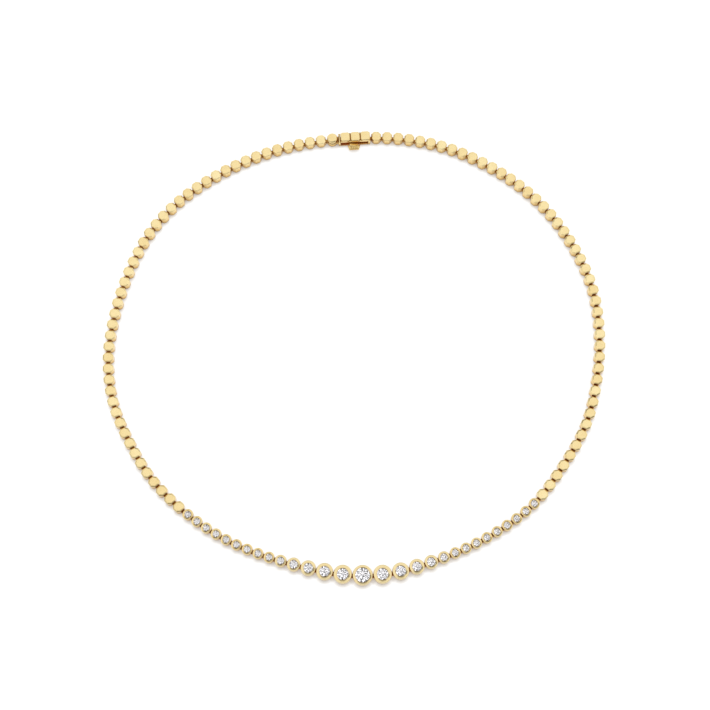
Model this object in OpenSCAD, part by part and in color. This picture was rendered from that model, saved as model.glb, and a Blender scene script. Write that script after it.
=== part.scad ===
// Riviere necklace laid out as a closed loop on a flat surface.
// Twenty-nine graduated round stones in rubbed-over settings lie at the front (-Y),
// faceted gold links run up both sides, and a box clasp closes the loop at the back (+Y).
// Every link, setting and the clasp is joined to the next by an eye on a cross pin.
// Millimetres, +Z up, the loop rests on Z = 0 with its outline centred on the origin.

/* [Gold links] */
// Length of a link along the chain
link_l = 2.7; // [2.4:0.05:3.4]
// Width of a link across the chain
link_w = 2.75; // [2.4:0.05:3.4]
// Height of a link
link_h = 2.4; // [1.8:0.05:2.7]
// Cut across the four corners of a link, measured along its sides
link_corner = 0.75; // [0.5:0.05:0.95]
// Width of the bevel round the top of a link
link_bevel = 0.38; // [0.15:0.01:0.45]
// Height of that bevel
link_bevel_h = 0.27; // [0.15:0.01:0.4]
// Bevel round the bottom edge of a link
link_foot_bevel = 0.14; // [0.05:0.01:0.2]
// Open space between a link and its neighbour
link_gap = 0.4; // [0.3:0.01:0.6]
// Number of links on each side, between the stones and the clasp
links_per_side = 46; // [40:1:52]

/* [Hinges] */
// Diameter of the cross pin in each link
pin_d = 0.3; // [0.25:0.01:0.36]
// Space between a pin and the eye round it
pin_clear = 0.17; // [0.15:0.01:0.18]
// Metal round the hole of an eye
eye_wall = 0.16; // [0.12:0.01:0.2]
// Width of the tongue that carries the eye
tongue_w = 1.1; // [0.8:0.05:1.2]
// Thickness of the tongue behind the eye
tongue_t = 0.5; // [0.4:0.05:0.7]
// Length of a tongue inside the foot of its own link
tongue_root = 0.3; // [0.2:0.05:0.4]
// Space on each side of a tongue in its slot
tongue_clear = 0.16; // [0.15:0.01:0.2]
// Height of the lowest point of an eye above the surface
eye_lift = 0.1; // [0.08:0.01:0.15]
// Distance of a cross pin inside the foot of its link
pin_inset = 0.5; // [0.45:0.01:0.6]

/* [Settings] */
// Outer diameter of the centre setting
centre_setting_d = 5; // [4.5:0.05:5.4]
// Outer diameter of the smallest settings
small_setting_d = 2.77; // [2.6:0.01:3]
// Step down in diameter from each setting to the next, until the smallest
setting_step = 0.4; // [0.3:0.01:0.6]
// Open space between two settings
setting_gap = 0.2; // [0.16:0.01:0.4]
// Height of the centre setting
centre_setting_h = 2.6; // [2.5:0.05:3]
// Height of the smallest settings
small_setting_h = 2.2; // [2:0.05:2.4]
// Foot of a setting as a share of its diameter
setting_foot_share = 0.92; // [0.85:0.01:0.96]
// Height of the widest ring of a setting as a share of its height
setting_belly_share = 0.35; // [0.3:0.05:0.6]
// Rounding of the outer edge of a rim
rim_round = 0.18; // [0.15:0.01:0.32]
// Number of settings on each side of the centre one
settings_per_side = 14; // [12:1:16]

/* [Stones] */
// Diameter of the centre stone
centre_stone_d = 3.85; // [3.5:0.05:4]
// Diameter of every other stone as a share of its setting
stone_share = 0.67; // [0.64:0.01:0.7]
// Width of the table as a share of the stone
table_share = 0.57; // [0.53:0.01:0.63]
// Height of the crown as a share of the stone
crown_share = 0.15; // [0.12:0.01:0.17]
// Depth of the pavilion as a share of the stone
pavilion_share = 0.43; // [0.4:0.01:0.44]
// Radius where stars and kites meet, as a share of the stone's
star_share = 0.78; // [0.74:0.01:0.82]
// Radius where the lower halves end, as a share of the stone's
lower_share = 0.24; // [0.2:0.01:0.3]
// Thickness of the girdle as a share of the stone
girdle_share = 0.03; // [0.02:0.01:0.04]
// Depth of the girdle below the rim
girdle_drop = 0.4; // [0.34:0.01:0.42]
// Space between a stone and the metal round it
stone_clear = 0.03; // [0.02:0.01:0.05]
// Overhang of the rubbed-over rim past the edge of the stone
rim_over = 0.07; // [0.04:0.01:0.1]
// Thickness of the rim's edge over the stone
rim_edge = 0.04; // [0.03:0.01:0.06]
// Open bore under a stone as a share of the stone
bore_share = 0.6; // [0.5:0.01:0.65]

/* [Clasp] */
// Length of the clasp box
box_l = 8.2; // [7.6:0.1:9.5]
// Width of the clasp box across the chain
box_w = 2.75; // [2.6:0.05:3.2]
// Height of the clasp box with its raised tops
box_h = 2.8; // [2.7:0.05:3.1]
// Height of the raised tops
box_top_h = 0.6; // [0.5:0.05:0.65]
// Space between the raised tops
box_top_gap = 0.12; // [0.08:0.01:0.2]
// Bevel round each raised top
box_top_bevel = 0.18; // [0.1:0.01:0.3]
// Cut across the corners of each raised top
box_top_corner = 0.5; // [0.2:0.05:0.6]
// Bevel round the edge under the raised tops
box_edge = 0.05; // [0.03:0.01:0.1]
// Bevel round the foot of the box
box_foot_bevel = 0.14; // [0.05:0.01:0.2]
// Thickness of the long sides
box_side = 0.3; // [0.25:0.01:0.35]
// Thickness of the closed end
box_end = 0.53; // [0.5:0.01:0.65]
// Thickness of the floor
box_floor = 0.35; // [0.3:0.01:0.4]
// Thickness of the roof under the raised tops
box_roof = 0.2; // [0.15:0.01:0.25]
// Length of the catch that hangs from the roof at the mouth
catch_l = 0.35; // [0.3:0.01:0.5]
// Depth of the catch below the roof
catch_h = 0.32; // [0.28:0.01:0.36]
// Height of the slot in the inner side
slot_h = 1.35; // [1.2:0.05:1.4]
// Height of the lower edge of the slot above the surface
slot_z = 0.5; // [0.45:0.01:0.55]
// Running space round the moving and sliding pieces of the clasp
clasp_clear = 0.1; // [0.08:0.01:0.12]
// Thickness of the two leaves
leaf_t = 0.25; // [0.2:0.01:0.28]
// Radius of the rounded fold between the leaves
fold_r = 0.3; // [0.26:0.01:0.32]
// Thickness of the tongue's end plate
plate_t = 0.5; // [0.4:0.05:0.7]
// Diameter of the end link
end_link_d = 2.9; // [2.8:0.05:3.2]
// Height of the end link
end_link_h = 2.7; // [2.6:0.05:2.9]
// Height of the lower cup of the end link
end_cup_h = 1.3; // [1.27:0.01:1.4]
// Height of the groove between the cup and the disc of the end link
end_groove_h = 0.35; // [0.25:0.01:0.45]
// Depth of that groove
end_groove_depth = 0.4; // [0.2:0.01:0.5]
// Bevel round the disc of the end link
end_bevel = 0.3; // [0.15:0.01:0.4]
// Space between the end link and the end plate
end_gap = 0.25; // [0.2:0.01:0.4]

/* [Thumb tab] */
// Width of the thumb tab along the clasp, at the box
tab_l = 3.5; // [2.8:0.1:3.6]
// Width of the thumb tab at its outer end
tab_end_l = 2.7; // [2:0.1:2.8]
// Reach of the thumb tab from the side of the box
tab_reach = 1.85; // [1.6:0.05:2.1]
// Space between the thumb tab and the side of the box
tab_gap = 0.65; // [0.2:0.05:0.7]
// Height of the thumb tab
tab_h = 0.85; // [0.84:0.01:0.92]
// Height of the underside of the thumb tab above the surface
tab_z = 0.5; // [0.48:0.01:0.6]
// Distance of the middle of the tab from the mouth of the box
tab_from_mouth = 3.6; // [3.2:0.1:4.2]
// Width of the neck that passes through the slot
tab_neck_l = 2.3; // [1.8:0.1:2.4]
// Number of grip grooves across the tab
tab_grooves = 5; // [3:1:7]
// Bevel round the top and the underside of the thumb tab
tab_bevel = 0.14; // [0.08:0.01:0.2]
// Radius of a grip groove
groove_r = 0.11; // [0.08:0.01:0.13]

/* [Colours] */
// Colour of the polished gold
gold = "#E3BE66";
// Colour of the stones
ice = "#E9EEF3";

/* [Hidden] */
// Settings on each side that are pieces of their own; the smaller ones are in one field a side
own_settings = 5;
EPS = 0.02;
FACETS = 8;

// The loop as it lies, in a few points chosen by eye: clockwise from the middle of the clasp.
// Only the shape counts, because the loop is scaled to the length of its links.
route_points = [
    [-1.5, 63.5], [12, 63.5], [24.5, 61], [35.5, 56], [45.5, 49], [53.5, 40.5],
    [60, 29.5], [64, 18], [65, 5], [63.5, -7.5], [60, -19.5], [53.5, -30.5],
    [45.5, -40.5], [36, -47.5], [25, -53], [11.5, -57.5], [2, -58.5], [-7.5, -57.5],
    [-21, -54], [-32, -49.5], [-42, -43], [-51, -34.5], [-57.5, -24.5], [-62.5, -13.5],
    [-64.5, -1.5], [-63.5, 11], [-60.5, 23], [-55.5, 34.5], [-48, 44], [-38.5, 51.5],
    [-27.5, 57.5], [-15.5, 61.5]
];
route_steps = 10;

// The play in the hinges lets the chain lie closer together in one stretch than in the next: share
// of the way round the loop, and how far ahead of an even spacing a piece lies there
lay_ahead = [[0, 0], [0.1, -0.2], [0.2, -1], [0.37, 0.5], [0.43, 0.85], [0.5, 0.75], [0.75, -0.3], [1, 0]];

// Every piece of the chain is one place in this order, clockwise from the clasp:
// the clasp, the right links, the right settings up to the centre one, the left settings, the left links.
clasp_place = 0;
first_right_link = 1;
first_setting = first_right_link + links_per_side;
centre_place = first_setting + settings_per_side;
last_setting = centre_place + settings_per_side;
first_left_link = last_setting + 1;
places = first_left_link + links_per_side;

eye_hole_r = pin_d / 2 + pin_clear;
eye_r = eye_hole_r + eye_wall;
pin_z = eye_lift + eye_r;
slot_w = tongue_w + 2 * tongue_clear;
slot_top_z = pin_z + eye_r + pin_clear;

// The clasp's own frame has X along the chain, -Y towards the neck, and its whole length centred on X = 0
clasp_l = end_link_d + end_gap + plate_t + clasp_clear + box_l;
box_x = clasp_l / 2 - box_l;
plate_x = box_x - clasp_clear - plate_t;
end_link_x = -clasp_l / 2 + end_link_d / 2;
roof_z = box_h - box_top_h - box_roof;
inner_w = box_w - 2 * box_side;
leaf_w = inner_w - 2 * clasp_clear;
lower_leaf_z = box_floor + clasp_clear;
fold_x = clasp_l / 2 - box_end - clasp_clear - fold_r;
fold_z = box_floor + clasp_clear + fold_r;
upper_leaf_x = box_x + catch_l + clasp_clear;
upper_leaf_z = roof_z - clasp_clear;
tab_x = box_x + tab_from_mouth;

function is_setting(i) = i >= first_setting && i <= last_setting;
function setting_rank(i) = abs(i - centre_place);
function setting_d(rank) = max(small_setting_d, centre_setting_d - rank * setting_step);
function setting_h(rank) = small_setting_h + (centre_setting_h - small_setting_h)
    * (setting_d(rank) - small_setting_d) / (centre_setting_d - small_setting_d);
function stone_d(rank) = rank == 0 ? centre_stone_d : setting_d(rank) * stone_share;
function foot_r(rank) = setting_d(rank) / 2 * setting_foot_share;

// Length of a place along the chain, and how far inside its rear edge its cross pin lies
function place_l(i) = i % places == clasp_place ? clasp_l
    : is_setting(i % places) ? setting_d(setting_rank(i)) : link_l;
function place_inset(i) = is_setting(i % places)
    ? pin_inset + setting_d(setting_rank(i)) / 2 - foot_r(setting_rank(i)) : pin_inset;

// Distance of each place's rear edge along the loop, counted from the middle of the clasp
function even_gap(i) = is_setting(i) && is_setting(i + 1) ? setting_gap : link_gap;
even_edges = [for (i = 0, s = -clasp_l / 2; i <= places; s = s + place_l(i) + even_gap(i), i = i + 1) s];
loop_length = even_edges[places] - even_edges[0];
edges = [for (i = [0:places]) even_edges[i] + lookup(i / places, lay_ahead)];

// Distance from the middle of a place to the next cross pin
function next_pin_x(i) = edges[i + 1] - edges[i] - place_l(i) / 2 + place_inset(i + 1);

function spline(a, b, c, d, t) = 0.5 * (2 * b + (c - a) * t
    + (2 * a - 5 * b + 4 * c - d) * t * t + (3 * b - a - 3 * c + d) * t * t * t);
function route_point(k) = route_points[(k + len(route_points)) % len(route_points)];
function route_at(k, t) =
    spline(route_point(k - 1), route_point(k), route_point(k + 1), route_point(k + 2), t);
drawn = [for (k = [0:len(route_points) - 1], j = [0:route_steps - 1]) route_at(k, j / route_steps)];
function drawn_step(j) = norm(drawn[(j + 1) % len(drawn)] - drawn[j]);
drawn_s = [for (j = 0, s = 0; j <= len(drawn); s = s + drawn_step(j % len(drawn)), j = j + 1) s];
loop_scale = loop_length / drawn_s[len(drawn)];
loop_x = [for (j = [0:len(drawn)]) [drawn_s[j] * loop_scale, drawn[j % len(drawn)].x * loop_scale]];
loop_y = [for (j = [0:len(drawn)]) [drawn_s[j] * loop_scale, drawn[j % len(drawn)].y * loop_scale]];
function on_loop(s) =
    let (w = s - floor(s / loop_length) * loop_length) [lookup(w, loop_x), lookup(w, loop_y)];

// A place is straight from its own cross pin to the next one
pins = [for (i = [0:places]) on_loop(edges[i] + place_inset(i))];
function place_dir(i) = (pins[i + 1] - pins[i]) / norm(pins[i + 1] - pins[i]);
function place_angle(i) = atan2(place_dir(i).y, place_dir(i).x);
function place_centre(i) = pins[i] + place_dir(i) * (place_l(i) / 2 - place_inset(i));

// The outline that the origin is centred on
function octagon(l, w, cut) = [
    [l / 2, w / 2 - cut], [l / 2 - cut, w / 2], [cut - l / 2, w / 2], [-l / 2, w / 2 - cut],
    [-l / 2, cut - w / 2], [cut - l / 2, -w / 2], [l / 2 - cut, -w / 2], [l / 2, cut - w / 2]
];
function turned(p, a) = [p.x * cos(a) - p.y * sin(a), p.x * sin(a) + p.y * cos(a)];
function link_outline(i) = [for (p = octagon(link_l, link_w, link_corner))
    place_centre(i) + turned(p, place_angle(i))];
function setting_outline(i) = [for (q = [0:3])
    place_centre(i) + setting_d(setting_rank(i)) / 2 * [cos(90 * q), sin(90 * q)]];
function clasp_outline() = [for (p = [[box_x, box_w / 2], [clasp_l / 2, box_w / 2]])
    place_centre(clasp_place) + turned(p, place_angle(clasp_place))];
outline = concat(clasp_outline(), [for (i = [1:places - 1])
    each is_setting(i) ? setting_outline(i) : link_outline(i)]);
middle = [
    (min([for (p = outline) p.x]) + max([for (p = outline) p.x])) / 2,
    (min([for (p = outline) p.y]) + max([for (p = outline) p.y])) / 2
];

module at_place(i) {
    translate([place_centre(i).x - middle.x, place_centre(i).y - middle.y, 0])
        rotate([0, 0, place_angle(i)])
            children();
}

// Hinges: a pin across a slot at the rear, and a tongue with an eye at the front

module cross_cylinder(x, r, w) {
    translate([x, 0, pin_z])
        rotate([90, 0, 0])
            cylinder(r = r, h = w, center = true, $fn = 32);
}

// Body with its slot cut at rear_x, its pin set back by inset, and its tongue reaching from root_x to eye_x
module hinged(rear_x, inset, root_x, eye_x) {
    slot_end = rear_x + inset + eye_r + pin_clear;
    difference() {
        union() {
            children();
            translate([root_x, -tongue_w / 2, pin_z - tongue_t / 2])
                cube([eye_x - root_x, tongue_w, tongue_t]);
            cross_cylinder(eye_x, eye_r, tongue_w);
        }
        cross_cylinder(eye_x, eye_hole_r, tongue_w + 2 * EPS);
        translate([rear_x - EPS, -slot_w / 2, -EPS])
            cube([slot_end - rear_x + EPS, slot_w, slot_top_z + EPS]);
    }
    cross_cylinder(rear_x + inset, pin_d / 2, slot_w + 2 * eye_wall);
}

// Gold links

// Outline with bevelled edges that reaches the same way to both sides along the angle, and spans across it
module bevelled_slab(angle, reach, span, h, bevel, rise, foot) {
    rotate([90, 0, angle])
        linear_extrude(height = span, center = true)
            polygon([
                [-reach, foot], [foot - reach, 0], [reach - foot, 0], [reach, foot],
                [reach, h - rise], [reach - bevel, h], [bevel - reach, h], [-reach, h - rise]
            ]);
}

module bevelled_octagon(l, w, h, cut, bevel, rise, foot) {
    corner_reach = (l / 2 + w / 2 - cut) / sqrt(2);
    span = 2 * (l + w);
    intersection() {
        bevelled_slab(0, l / 2, span, h, bevel, rise, foot);
        bevelled_slab(90, w / 2, span, h, bevel, rise, foot);
        bevelled_slab(45, corner_reach, span, h, bevel, rise, foot);
        bevelled_slab(135, corner_reach, span, h, bevel, rise, foot);
    }
}

module bevelled_block(l, w, h, bevel, foot) {
    intersection() {
        bevelled_slab(0, l / 2, 2 * w, h, bevel, bevel, foot);
        bevelled_slab(90, w / 2, 2 * l, h, bevel, bevel, foot);
    }
}

module link(i) {
    at_place(i)
        hinged(-link_l / 2, pin_inset, link_l / 2 - tongue_root, next_pin_x(i))
            bevelled_octagon(
                link_l, link_w, link_h, link_corner, link_bevel, link_bevel_h, link_foot_bevel
            );
}

module links_right() {
    color(gold)
        for (i = [first_right_link:first_setting - 1])
            link(i);
}

module links_left() {
    color(gold)
        for (i = [first_left_link:places - 1])
            link(i);
}

// Settings and stones

function setting_profile(rank) =
    let (
        r = setting_d(rank) / 2,
        h = setting_h(rank),
        stone_r = stone_d(rank) / 2,
        girdle = stone_d(rank) * girdle_share / 2,
        girdle_z = h - girdle_drop,
        groove = stone_r + stone_clear,
        pavilion = pavilion_share * 2,
        bore = stone_r * bore_share,
        rim_z = girdle_z + girdle + rim_over + 2 * stone_clear,
        lip_r = stone_r - rim_over
    ) [
        [bore, 0],
        [foot_r(rank), 0],
        [r, h * setting_belly_share],
        for (a = [0:30:90]) [r - rim_round * (1 - cos(a)), h - rim_round * (1 - sin(a))],
        [lip_r, rim_z + rim_edge],
        [lip_r, rim_z],
        [groove, girdle_z + girdle + stone_clear],
        [groove, girdle_z - girdle - stone_clear],
        [bore, girdle_z - girdle - stone_clear - (groove - bore) * pavilion]
    ];

module setting_at(i) {
    rank = setting_rank(i);
    color(gold)
        at_place(i)
            hinged(-setting_d(rank) / 2, place_inset(i), foot_r(rank) - tongue_root, next_pin_x(i))
                rotate_extrude($fn = 48)
                    polygon(setting_profile(rank));
}

module small_settings_right() {
    for (i = [first_setting:centre_place - own_settings - 1])
        setting_at(i);
}

module small_settings_left() {
    for (i = [centre_place + own_settings + 1:last_setting])
        setting_at(i);
}

function ring(n, r, z, start) =
    [for (q = [0:n - 1]) let (a = start + 360 * q / n) [r * cos(a), r * sin(a), z]];

// Round brilliant with its girdle centred on Z = 0: a table, 8 stars, 8 kites and 16 upper
// halves above the girdle, 16 lower halves and 8 mains below it
module brilliant(d) {
    r = d / 2;
    half_girdle = d * girdle_share / 2;
    crown = d * crown_share;
    pavilion = d * pavilion_share;
    table_r = r * table_share;
    star_r = r * star_share;
    low_r = r * lower_share;
    side = cos(180 / FACETS);
    star_z = half_girdle + crown * (r - star_r * side) / (r - table_r);
    low_z = -half_girdle - pavilion * (1 - low_r * side / r);
    star = FACETS;
    top = 2 * FACETS;
    bottom = 4 * FACETS;
    low = 6 * FACETS;
    culet = 7 * FACETS;
    polyhedron(
        points = concat(
            ring(FACETS, table_r, half_girdle + crown, 0),
            ring(FACETS, star_r, star_z, 180 / FACETS),
            ring(2 * FACETS, r, half_girdle, 0),
            ring(2 * FACETS, r, -half_girdle, 0),
            ring(FACETS, low_r, low_z, 180 / FACETS),
            [[0, 0, -half_girdle - pavilion]]
        ),
        faces = [
            [for (q = [FACETS - 1:-1:0]) q],
            for (q = [0:FACETS - 1]) [q, (q + 1) % FACETS, star + q],
            for (q = [0:FACETS - 1]) [q, star + q, top + 2 * q, star + (q + FACETS - 1) % FACETS],
            for (q = [0:FACETS - 1]) [star + q, top + 2 * q + 1, top + 2 * q],
            for (q = [0:FACETS - 1]) [star + q, top + (2 * q + 2) % (2 * FACETS), top + 2 * q + 1],
            for (q = [0:2 * FACETS - 1])
                let (n = (q + 1) % (2 * FACETS)) [top + q, top + n, bottom + n, bottom + q],
            for (q = [0:FACETS - 1]) [low + q, bottom + 2 * q, bottom + 2 * q + 1],
            for (q = [0:FACETS - 1]) [low + q, bottom + 2 * q + 1, bottom + (2 * q + 2) % (2 * FACETS)],
            for (q = [0:FACETS - 1]) [culet, low + (q + FACETS - 1) % FACETS, bottom + 2 * q, low + q]
        ]
    );
}

// Each stone is turned by a different amount, as a setter leaves it
module stone_at(i) {
    rank = setting_rank(i);
    color(ice)
        at_place(i)
            translate([0, 0, setting_h(rank) - girdle_drop])
                rotate([0, 0, 17 * i])
                    brilliant(stone_d(rank));
}

// Clasp

module box_tops() {
    top_l = (box_l - 2 * box_top_gap) / 3;
    for (q = [0:2])
        translate([box_x + top_l / 2 + (top_l + box_top_gap) * q, 0, box_h - box_top_h - EPS])
            bevelled_octagon(
                top_l, box_w, box_top_h + EPS, box_top_corner, box_top_bevel, box_top_bevel, 0
            );
}

module box_shell() {
    body_h = box_h - box_top_h;
    difference() {
        translate([box_x + box_l / 2, 0, 0])
            bevelled_block(box_l, box_w, body_h, box_edge, box_foot_bevel);
        translate([box_x + catch_l, -inner_w / 2, box_floor])
            cube([box_l - catch_l - box_end, inner_w, roof_z - box_floor]);
        translate([box_x - EPS, -inner_w / 2, box_floor])
            cube([catch_l + 2 * EPS, inner_w, roof_z - catch_h - box_floor]);
        translate([box_x - EPS, -box_w, slot_z])
            cube([box_l - box_end + EPS, box_w - inner_w / 2 + EPS, slot_h]);
    }
}

module clasp_box() {
    color(gold)
        at_place(clasp_place) {
            eye_x = next_pin_x(clasp_place);
            box_tops();
            difference() {
                union() {
                    box_shell();
                    translate([clasp_l / 2 - box_end / 2, -tongue_w / 2, pin_z - tongue_t / 2])
                        cube([eye_x - clasp_l / 2 + box_end / 2, tongue_w, tongue_t]);
                    cross_cylinder(eye_x, eye_r, tongue_w);
                }
                cross_cylinder(eye_x, eye_hole_r, tongue_w + 2 * EPS);
            }
        }
}

// Round drum in three steps: a lower cup, a groove and a bevelled disc on top
module end_drum() {
    r = end_link_d / 2;
    disc_z = end_cup_h + end_groove_h;
    rotate_extrude($fn = 48)
        polygon([
            [0, 0],
            [r - link_foot_bevel, 0],
            [r, link_foot_bevel],
            [r, end_cup_h - link_foot_bevel],
            [r - link_foot_bevel, end_cup_h],
            [r - end_groove_depth, end_cup_h],
            [r - end_groove_depth, disc_z],
            [r - link_foot_bevel, disc_z],
            [r, disc_z + link_foot_bevel],
            [r, end_link_h - end_bevel],
            [r - end_bevel, end_link_h],
            [0, end_link_h]
        ]);
}

module clasp_tongue() {
    rear_x = -clasp_l / 2;
    neck_x = end_link_x + end_link_d / 4;
    color(gold)
        at_place(clasp_place) {
            difference() {
                translate([end_link_x, 0, 0])
                    end_drum();
                translate([rear_x - EPS, -slot_w / 2, -EPS])
                    cube([pin_inset + eye_r + pin_clear + EPS, slot_w, slot_top_z + EPS]);
            }
            cross_cylinder(rear_x + pin_inset, pin_d / 2, slot_w + 2 * eye_wall);
            translate([plate_x + plate_t / 2, 0, 0])
                bevelled_block(plate_t, box_w, box_h - box_top_h, box_foot_bevel, box_foot_bevel);
            translate([neck_x, -leaf_w / 2, lower_leaf_z])
                cube([plate_x + plate_t / 2 - neck_x, leaf_w, end_cup_h - lower_leaf_z - link_foot_bevel]);
            difference() {
                translate([plate_x + plate_t / 2, -leaf_w / 2, lower_leaf_z])
                    cube([fold_x - plate_x - plate_t / 2, leaf_w, leaf_t]);
                translate([fold_x, 0, fold_z])
                    rotate([90, 0, 0])
                        cylinder(r = fold_r + clasp_clear, h = box_w, center = true, $fn = 48);
            }
        }
}

// Height of the top of the upper leaf above the surface
function upper_leaf_top(x) = upper_leaf_z
    + (fold_z + fold_r - upper_leaf_z) * (x - upper_leaf_x) / (fold_x - upper_leaf_x);

module tab_slice(z, inset) {
    inner_y = -box_w / 2 - tab_gap;
    outer_y = -box_w / 2 - tab_reach;
    translate([tab_x, 0, z])
        linear_extrude(height = EPS)
            polygon([
                [inset - tab_l / 2, inner_y - inset],
                [tab_l / 2 - inset, inner_y - inset],
                [tab_end_l / 2 - inset, outer_y + inset],
                [inset - tab_end_l / 2, outer_y + inset]
            ]);
}

module tapered_tab() {
    hull() {
        tab_slice(tab_z, tab_bevel);
        tab_slice(tab_z + tab_bevel, 0);
        tab_slice(tab_z + tab_h - tab_bevel - EPS, 0);
        tab_slice(tab_z + tab_h - EPS, tab_bevel);
    }
}

// Grooves from the top of the tab down its outer end
module grip_grooves() {
    pitch = tab_end_l / tab_grooves;
    front = -box_w / 2 - tab_reach;
    for (q = [1:tab_grooves - 1])
        translate([tab_x - tab_end_l / 2 + pitch * q, front, 0]) {
            cylinder(r = groove_r, h = box_h, $fn = 24);
            translate([0, 0, tab_z + tab_h])
                rotate([-90, 0, 0])
                    cylinder(r = groove_r, h = tab_reach - tab_gap - leaf_t, $fn = 24);
        }
}

module clasp_lever() {
    neck_a = tab_x - tab_neck_l / 2;
    neck_b = tab_x + tab_neck_l / 2;
    color(gold)
        at_place(clasp_place) {
            translate([fold_x, 0, fold_z])
                rotate([90, 0, 0])
                    cylinder(r = fold_r, h = leaf_w, center = true, $fn = 48);
            rotate([90, 0, 0])
                linear_extrude(height = leaf_w, center = true)
                    polygon([
                        [upper_leaf_x, upper_leaf_z - leaf_t],
                        [fold_x, fold_z + fold_r - leaf_t],
                        [fold_x, fold_z + fold_r],
                        [upper_leaf_x, upper_leaf_z]
                    ]);
            translate([0, -leaf_w / 4, 0])
                rotate([90, 0, 0])
                    linear_extrude(height = box_w / 2 + tab_gap + leaf_t - leaf_w / 4)
                        polygon([
                            [neck_a, tab_z + tab_h - leaf_t],
                            [neck_b, tab_z + tab_h - leaf_t],
                            [neck_b, upper_leaf_top(neck_b) - leaf_t / 2],
                            [neck_a, upper_leaf_top(neck_a) - leaf_t / 2]
                        ]);
            difference() {
                tapered_tab();
                grip_grooves();
            }
        }
}

function own_ranks() = [for (rank = [1:own_settings]) rank];

clasp_box();
clasp_tongue();
clasp_lever();
links_left();
links_right();
small_settings_left();
small_settings_right();
setting_at(centre_place);  // setting_centre
stone_at(centre_place);  // stone_centre
for (rank = own_ranks()) {
    setting_at(centre_place + rank);
    setting_at(centre_place - rank);
}
for (rank = [1:settings_per_side]) {
    stone_at(centre_place + rank);
    stone_at(centre_place - rank);
}
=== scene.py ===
"""Looks of the gold and diamond necklace.

Polished gold, cut stones, a pale floor, soft studio light and the photograph's camera. Every piece is
the CAD's own, and the metal ones have rounded edges.
"""

import math

import bpy
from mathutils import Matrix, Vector

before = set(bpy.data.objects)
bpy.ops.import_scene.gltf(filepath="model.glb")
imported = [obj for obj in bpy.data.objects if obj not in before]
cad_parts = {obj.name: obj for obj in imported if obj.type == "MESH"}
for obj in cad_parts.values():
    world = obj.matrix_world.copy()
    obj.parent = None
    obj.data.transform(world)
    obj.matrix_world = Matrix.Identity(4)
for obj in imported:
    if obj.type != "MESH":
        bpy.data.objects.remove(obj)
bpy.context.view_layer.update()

MM = 0.001

# Camera: the photograph's view, taken to be 710 pixels square
IMAGE_PX = 710
FOCAL_PX = 1300
SENSOR_MM = 36
VIEW_ELEVATION = 71
VIEW_DISTANCE = 342.6 * MM
LOOK_AT = Vector((0.08, -2.40, 0.9)) * MM

# Edges of the metal: vertices nearer than WELD are one, and faces within FLAT_ANGLE degrees are one.
# An edge of at least EDGE_ANGLE degrees gets a bevel, and the shading wears it a little further.
WELD = 0.0005 * MM
FLAT_ANGLE = 1
EDGE_ANGLE = 24
EDGE_ROUND = 0.045 * MM
WORN_EDGE = 0.05 * MM

# Gold: the pale and the warm tone of the metal of the links, the lever and the two kinds of
# setting, the lever's darkened as painted shade, and the painted shade of their walls and recesses
LINK_TONES = ((0.90, 0.755, 0.415, 1), (0.83, 0.645, 0.31, 1))
# The lever's tones are darker than the links' to paint the shade it sits in under the clasp
LEVER_SHADED_TONES = ((0.76, 0.62, 0.31, 1), (0.64, 0.50, 0.21, 1))
SMALL_TONES = ((0.88, 0.735, 0.40, 1), (0.82, 0.64, 0.31, 1))
SETTING_TONES = ((0.85, 0.715, 0.41, 1), (0.80, 0.66, 0.36, 1))
# Painted shade: the darker, warmer tone of enclosed walls and the dark tone of recesses
WALL_SHADE_TONE = (0.80, 0.53, 0.18, 1)
SMALL_WALL_SHADE_TONE = (0.70, 0.42, 0.11, 1)
RECESS_SHADE_TONE = (0.20, 0.075, 0.008, 1)
# Painted glow: emission that stands in for the warm light that gold throws from wall to wall deep
# inside the clasp, and no glow outside
PAINTED_INNER_GLOW = (0.10, 0.022, 0.001, 1)
NO_GLOW = (0, 0, 0, 1)
# Least roughness of each gold. Smudges double it.
LINK_ROUGH = 0.10
SMALL_ROUGH = 0.06
SETTING_ROUGH = 0.05
# Share of a piece's own random tone, the rest being clouds in the metal
PIECE_SHARE = 0.7
# How far around a point the metal is looked at, and the open shares of that space between which the
# painted shade of a wall gives way to the top's tone, the painted shade of a recess to the wall's, and
# the painted glow inside the clasp to none
WALL_REACH = 3.0 * MM
WALL_OPEN = (0.60, 0.95)
INSIDE_OPEN = (0.05, 0.40)
RECESS_REACH = 0.8 * MM
RECESS_OPEN = (0.42, 0.88)
# Marks in the polish: their sizes, how much longer a scratch is than wide as 1 / SCRATCH_STRETCH, the
# share of the scratches in the relief, and the relief's strength and height
CLOUD_SIZE = 1.5 * MM
SMUDGE_SIZE = 0.9 * MM
WAVE_SIZE = 0.5 * MM
SCRATCH_SIZE = 0.05 * MM
SCRATCH_STRETCH = 0.08
SCRATCH_SHARE = 0.03
POLISH_STRENGTH = 0.12
POLISH_HEIGHT = 0.008 * MM

# Stones: the clear tone, the painted shade warmed by the gold beside the rim, and how far it reaches
DIAMOND_IOR = 2.417
STONE_TONE = (0.97, 0.965, 1, 1)
RIM_SHADE_TONE = (0.50, 0.43, 0.31, 1)
RIM_REACH = 0.6 * MM
RIM_OPEN = (0.35, 0.85)

# Studio light, as a sky of soft panels: direction in degrees from +X towards +Y and above the
# floor, half angle of the bright middle and of the soft edge, and brightness added
OVERHEAD_LIGHT = 1.1
HORIZON_LIGHT = 0.25
DOME_FROM = 0.30
DOME_FULL = 0.84
PANELS = (
    (10, 20, 20, 50, 0.7),
    (162, 8, 12, 32, 0.75),
    (-150, 20, 10, 40, 0.5),
    (64, 8, 10, 20, 0.7),
    (116, 8, 10, 20, 0.7),
)
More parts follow.
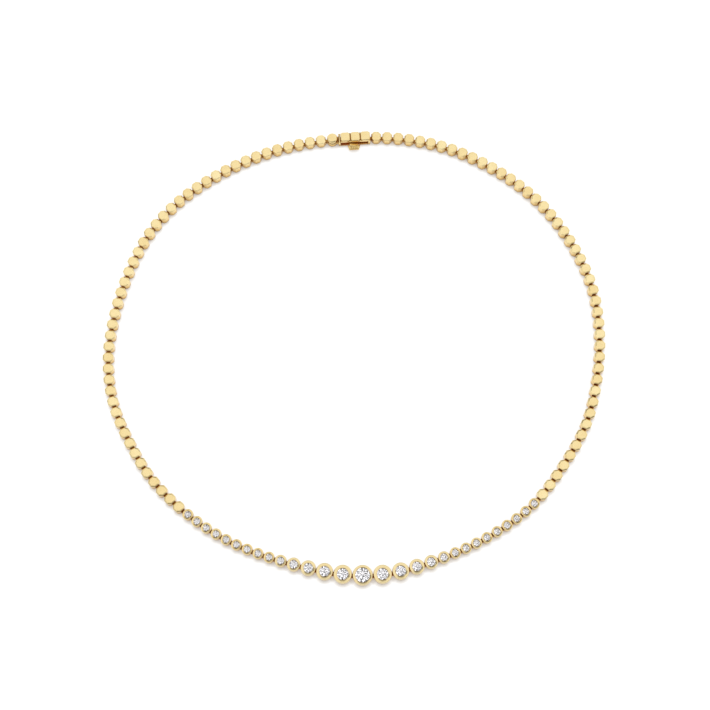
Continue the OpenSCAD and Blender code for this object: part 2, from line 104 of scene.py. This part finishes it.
# Dark cards that give the bevels and facets something dark to mirror, in the same way
CARDS = (
    (152, 42, 8, 16, 0.55),
    (90, 30, 18, 28, 0.34),
    (166, 3, 8, 18, 0.4),
)
# Bright foot of the backdrop, which fades between these heights, and the most that the panels reach
FOOT_LIGHT = 0.9
FOOT_FROM = 0.04
FOOT_TOP = 0.21
PANEL_MOST = 1.15

# Light that the stones throw back: patches of the sky as wide as this, between these two levels,
# the share of it that is left near the horizon, and a bright spot behind the viewer
SPARKLE_PATCH = 0.55
SPARKLE_EDGE = (0.43, 0.52)
SPARKLE_DARK = 0.04
SPARKLE_BRIGHT = 1.9
SPARKLE_LOW = 0.5
SPARKLE_SPOT = (-90, 80, 6, 14)

FLOOR_SIZE = 8.0
FLOOR_TONE = (0.30, 0.30, 0.30, 1)
FLOOR_ROUGH = 0.7
FLOOR_GLOSS = 0.2
FLOOR_GLOW = 0.84
# Painted shadow at the foot of the necklace: the floor's glow darkens near the metal, more towards the
# front, as if the light stood behind it
CONTACT_REACH = 1.35 * MM
CONTACT_OPEN = (0.1, 0.80)
CONTACT_LEAN = (0, 0.85, 0.53)
SHADOW_TONE = (0.26, 0.19, 0.11, 1)
FULL_LIGHT = (1, 1, 1, 1)
# Least brightness of the backdrop as the camera sees it
BACKDROP = 1.1


def make_camera():
    data = bpy.data.cameras.new("camera")
    data.sensor_width = SENSOR_MM
    data.lens = FOCAL_PX / IMAGE_PX * SENSOR_MM
    data.clip_start = 0.01
    data.clip_end = 50
    camera = bpy.data.objects.new("camera", data)
    bpy.context.scene.collection.objects.link(camera)
    e = math.radians(VIEW_ELEVATION)
    camera.location = LOOK_AT + VIEW_DISTANCE * Vector((0, -math.cos(e), math.sin(e)))
    camera.rotation_euler = (math.pi / 2 - e, 0, 0)
    bpy.context.scene.camera = camera


class Tree:
    """Short calls for the nodes of one material or world."""

    def __init__(self, owner):
        owner.use_nodes = True
        self.tree = owner.node_tree
        self.nodes = self.tree.nodes
        self.nodes.clear()

    def add(self, kind, inputs=(), **settings):
        node = self.nodes.new("ShaderNode" + kind)
        for key, value in settings.items():
            setattr(node, key, value)
        for key, value in dict(inputs).items():
            self.put(node.inputs[key], value)
        return node

    def put(self, socket, value):
        if isinstance(value, bpy.types.NodeSocket):
            self.tree.links.new(value, socket)
        else:
            socket.default_value = value

    def math(self, operation, a, b=0.0, c=0.0):
        return self.add("Math", {0: a, 1: b, 2: c}, operation=operation).outputs[0]

    def ramp(self, value, low, high, to_low=0.0, to_high=1.0, smooth=True):
        node = self.add("MapRange", {0: value, 1: low, 2: high, 3: to_low, 4: to_high})
        node.interpolation_type = "SMOOTHSTEP" if smooth else "LINEAR"
        return node.outputs[0]

    def mix(self, share, a, b):
        node = self.add("Mix", data_type="RGBA")
        self.put(node.inputs["Factor"], share)
        self.put(node.inputs["A"], a)
        self.put(node.inputs["B"], b)
        return node.outputs["Result"]

    def noise(self, where, size, detail, stretch=(1, 1, 1)):
        """Noise whose lumps are size metres apart."""
        place = self.add("Mapping", {"Vector": where, "Scale": Vector(stretch) / size}).outputs[0]
        return self.add("TexNoise", {"Vector": place, "Scale": 1.0, "Detail": detail}).outputs[0]


def new_material(name):
    material = bpy.data.materials.new(name)
    tree = Tree(material)
    shader = tree.add("BsdfPrincipled")
    tree.add("OutputMaterial", {"Surface": shader.outputs["BSDF"]})
    return material, tree, shader


def gold_material(name, tones, wall_shade, rough):
    """Polished 14 karat gold: two tones from piece to piece, painted shade in a warmer tone on the
    walls and a dark one in the recesses, a painted glow deep inside the clasp, and hairline scratches
    and soft waves in the polish.
    """
    pale, warm = tones
    material, tree, shader = new_material(name)
    where = tree.add("TexCoord").outputs["Object"]
    piece_tone = tree.add("Attribute", attribute_name="piece_tone").outputs["Fac"]
    cloud = tree.ramp(tree.noise(where, CLOUD_SIZE, detail=1), 0.3, 0.7)
    clouds = tree.math("MULTIPLY", cloud, 1 - PIECE_SHARE)
    tone = tree.math("MULTIPLY_ADD", piece_tone, PIECE_SHARE, clouds)
    metal_tone = tree.mix(tone, pale, warm)
    # Painted shade: walls and recesses are darkened by how closed in they are
    wide = tree.add("AmbientOcclusion", {"Distance": WALL_REACH}, samples=5).outputs["AO"]
    close = tree.add("AmbientOcclusion", {"Distance": RECESS_REACH}, samples=5).outputs["AO"]
    metal_tone = tree.mix(tree.ramp(wide, *WALL_OPEN), wall_shade, metal_tone)
    colour = tree.mix(tree.ramp(close, *RECESS_OPEN), RECESS_SHADE_TONE, metal_tone)
    tree.put(shader.inputs["Base Color"], colour)
    shader.inputs["Metallic"].default_value = 1
    # Painted glow: the metal emits a warm light where it is most closed in
    painted_glow = tree.mix(tree.ramp(wide, *INSIDE_OPEN), PAINTED_INNER_GLOW, NO_GLOW)
    tree.put(shader.inputs["Emission Color"], painted_glow)
    shader.inputs["Emission Strength"].default_value = 1
    smudge = tree.noise(where, SMUDGE_SIZE, detail=3)
    tree.put(shader.inputs["Roughness"], tree.ramp(smudge, 0.3, 0.75, rough, 2 * rough))
    waves = tree.noise(where, WAVE_SIZE, detail=1)
    along_y = tree.noise(where, SCRATCH_SIZE, detail=2, stretch=(1, SCRATCH_STRETCH, 1))
    along_x = tree.noise(where, SCRATCH_SIZE, detail=2, stretch=(SCRATCH_STRETCH, 1, 1))
    scratches = tree.math("ADD", along_y, along_x)
    height = tree.math("MULTIPLY_ADD", scratches, SCRATCH_SHARE, waves)
    worn = tree.add("Bevel", {"Radius": WORN_EDGE}, samples=4).outputs["Normal"]
    bump = tree.add("Bump", {
        "Height": height, "Strength": POLISH_STRENGTH, "Distance": POLISH_HEIGHT, "Normal": worn})
    tree.put(shader.inputs["Normal"], bump.outputs["Normal"])
    return material


def diamond_material():
    """Clear stone with painted shade, warmed by the gold, beside the rim."""
    material, tree, shader = new_material("diamond")
    # Painted shade and painted gold reflection in the stone next to the rim
    beside = tree.add("AmbientOcclusion", {"Distance": RIM_REACH}, samples=5).outputs["AO"]
    rim_shade = tree.mix(tree.ramp(beside, *RIM_OPEN), RIM_SHADE_TONE, STONE_TONE)
    tree.put(shader.inputs["Base Color"], rim_shade)
    shader.inputs["Transmission Weight"].default_value = 1
    shader.inputs["IOR"].default_value = DIAMOND_IOR
    shader.inputs["Roughness"].default_value = 0
    return material


def tone_group():
    """Node group that gives each loose piece of a mesh its own random tone."""
    group = bpy.data.node_groups.new("piece_tones", "GeometryNodeTree")
    group.interface.new_socket("Geometry", in_out="INPUT", socket_type="NodeSocketGeometry")
    group.interface.new_socket("Geometry", in_out="OUTPUT", socket_type="NodeSocketGeometry")
    source = group.nodes.new("NodeGroupInput")
    result = group.nodes.new("NodeGroupOutput")
    island = group.nodes.new("GeometryNodeInputMeshIsland")
    pick = group.nodes.new("FunctionNodeRandomValue")
    store = group.nodes.new("GeometryNodeStoreNamedAttribute")
    store.domain = "FACE"
    store.inputs["Name"].default_value = "piece_tone"
    group.links.new(island.outputs["Island Index"], pick.inputs["ID"])
    group.links.new(pick.outputs[1], store.inputs["Value"])
    group.links.new(source.outputs[0], store.inputs["Geometry"])
    group.links.new(store.outputs["Geometry"], result.inputs[0])
    return group


def soften(piece, tones):
    """Rounded edges and a tone for each loose piece of a CAD node."""
    weld = piece.modifiers.new("joined", "WELD")
    weld.merge_threshold = WELD
    flat = piece.modifiers.new("planar", "DECIMATE")
    flat.decimate_type = "DISSOLVE"
    flat.angle_limit = math.radians(FLAT_ANGLE)
    bevel = piece.modifiers.new("edge", "BEVEL")
    bevel.limit_method = "ANGLE"
    bevel.angle_limit = math.radians(EDGE_ANGLE)
    bevel.width = EDGE_ROUND
    bevel.segments = 2
    bevel.harden_normals = False
    tone = piece.modifiers.new("tone", "NODES")
    tone.node_group = tones
    normals = piece.modifiers.new("normals", "WEIGHTED_NORMAL")
    normals.keep_sharp = False


def make_floor():
    bpy.ops.mesh.primitive_plane_add(size=FLOOR_SIZE, location=(0, 0, 0))
    floor = bpy.context.object
    floor.name = "floor"
    material, tree, shader = new_material("pale_floor")
    shader.inputs["Base Color"].default_value = FLOOR_TONE
    shader.inputs["Roughness"].default_value = FLOOR_ROUGH
    shader.inputs["Specular IOR Level"].default_value = FLOOR_GLOSS
    # Painted shadow: the floor's glow is darkened where the necklace closes it in, leaning towards the
    # front
    lean = tree.add("CombineXYZ", dict(enumerate(CONTACT_LEAN))).outputs[0]
    around = {"Distance": CONTACT_REACH, "Normal": lean}
    contact = tree.add("AmbientOcclusion", around, samples=16).outputs["AO"]
    shade = tree.mix(tree.ramp(contact, *CONTACT_OPEN, smooth=False), SHADOW_TONE, FULL_LIGHT)
    tree.put(shader.inputs["Emission Color"], shade)
    shader.inputs["Emission Strength"].default_value = FLOOR_GLOW
    floor.data.materials.append(material)


def panel_share(tree, direction, azimuth, elevation, inner, outer):
    """How far a direction lies inside a round soft panel, from 0 to 1."""
    a = math.radians(azimuth)
    e = math.radians(elevation)
    middle = (math.cos(e) * math.cos(a), math.cos(e) * math.sin(a), math.sin(e))
    facing = tree.add("VectorMath", {0: direction, 1: middle}, operation="DOT_PRODUCT").outputs["Value"]
    return tree.ramp(facing, math.cos(math.radians(outer)), math.cos(math.radians(inner)))


def make_world():
    world = bpy.data.worlds.new("studio")
    bpy.context.scene.world = world
    tree = Tree(world)
    direction = tree.add("TexCoord").outputs["Generated"]
    height = tree.add("SeparateXYZ", {"Vector": direction}).outputs["Z"]
    light = tree.ramp(height, DOME_FROM, DOME_FULL, HORIZON_LIGHT, OVERHEAD_LIGHT)
    for azimuth, elevation, inner, outer, strength in PANELS:
        share = panel_share(tree, direction, azimuth, elevation, inner, outer)
        light = tree.math("MINIMUM", tree.math("MULTIPLY_ADD", share, strength, light), PANEL_MOST)
    light = tree.math("MAXIMUM", light, tree.ramp(height, FOOT_FROM, FOOT_TOP, FOOT_LIGHT, 0))
    for azimuth, elevation, inner, outer, strength in CARDS:
        share = panel_share(tree, direction, azimuth, elevation, inner, outer)
        light = tree.math("MULTIPLY", light, tree.ramp(share, 0, 1, 1, 1 - strength, smooth=False))
    patches = tree.noise(direction, SPARKLE_PATCH, detail=0)
    sparkle = tree.ramp(patches, *SPARKLE_EDGE, SPARKLE_DARK, SPARKLE_BRIGHT)
    sparkle = tree.math("MULTIPLY", sparkle, tree.ramp(height, 0.1, 0.95, SPARKLE_LOW, 1))
    spot = tree.math("MULTIPLY", panel_share(tree, direction, *SPARKLE_SPOT), SPARKLE_BRIGHT)
    sparkle = tree.math("MAXIMUM", sparkle, spot)
    path = tree.add("LightPath").outputs
    light = tree.add("Mix", {0: path["Is Transmission Ray"], 2: light, 3: sparkle}).outputs[0]
    light = tree.math("MAXIMUM", light, tree.math("MULTIPLY", path["Is Camera Ray"], BACKDROP))
    background = tree.add("Background", {"Color": FULL_LIGHT, "Strength": light})
    tree.add("OutputWorld", {"Surface": background.outputs[0]})


make_camera()
make_world()
make_floor()
bpy.context.scene.view_settings.view_transform = "Standard"

link_gold = gold_material("polished_gold", LINK_TONES, WALL_SHADE_TONE, LINK_ROUGH)
lever_gold = gold_material("polished_gold_of_lever_painted_shade", LEVER_SHADED_TONES, WALL_SHADE_TONE, LINK_ROUGH)
small_gold = gold_material("polished_gold_of_small_settings", SMALL_TONES, SMALL_WALL_SHADE_TONE, SMALL_ROUGH)
setting_gold = gold_material("polished_gold_of_settings", SETTING_TONES, WALL_SHADE_TONE, SETTING_ROUGH)
diamond = diamond_material()
tones = tone_group()
# Materials by the start of a node's name; the first that fits counts
LOOKS = (
    ("stone", diamond),
    ("small_settings", small_gold),
    ("setting", setting_gold),
    ("clasp_lever", lever_gold),
    ("", link_gold),
)
for name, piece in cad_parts.items():
    look = next(look for start, look in LOOKS if name.startswith(start))
    piece.data.materials.clear()
    piece.data.materials.append(look)
    if look is not diamond:
        soften(piece, tones)
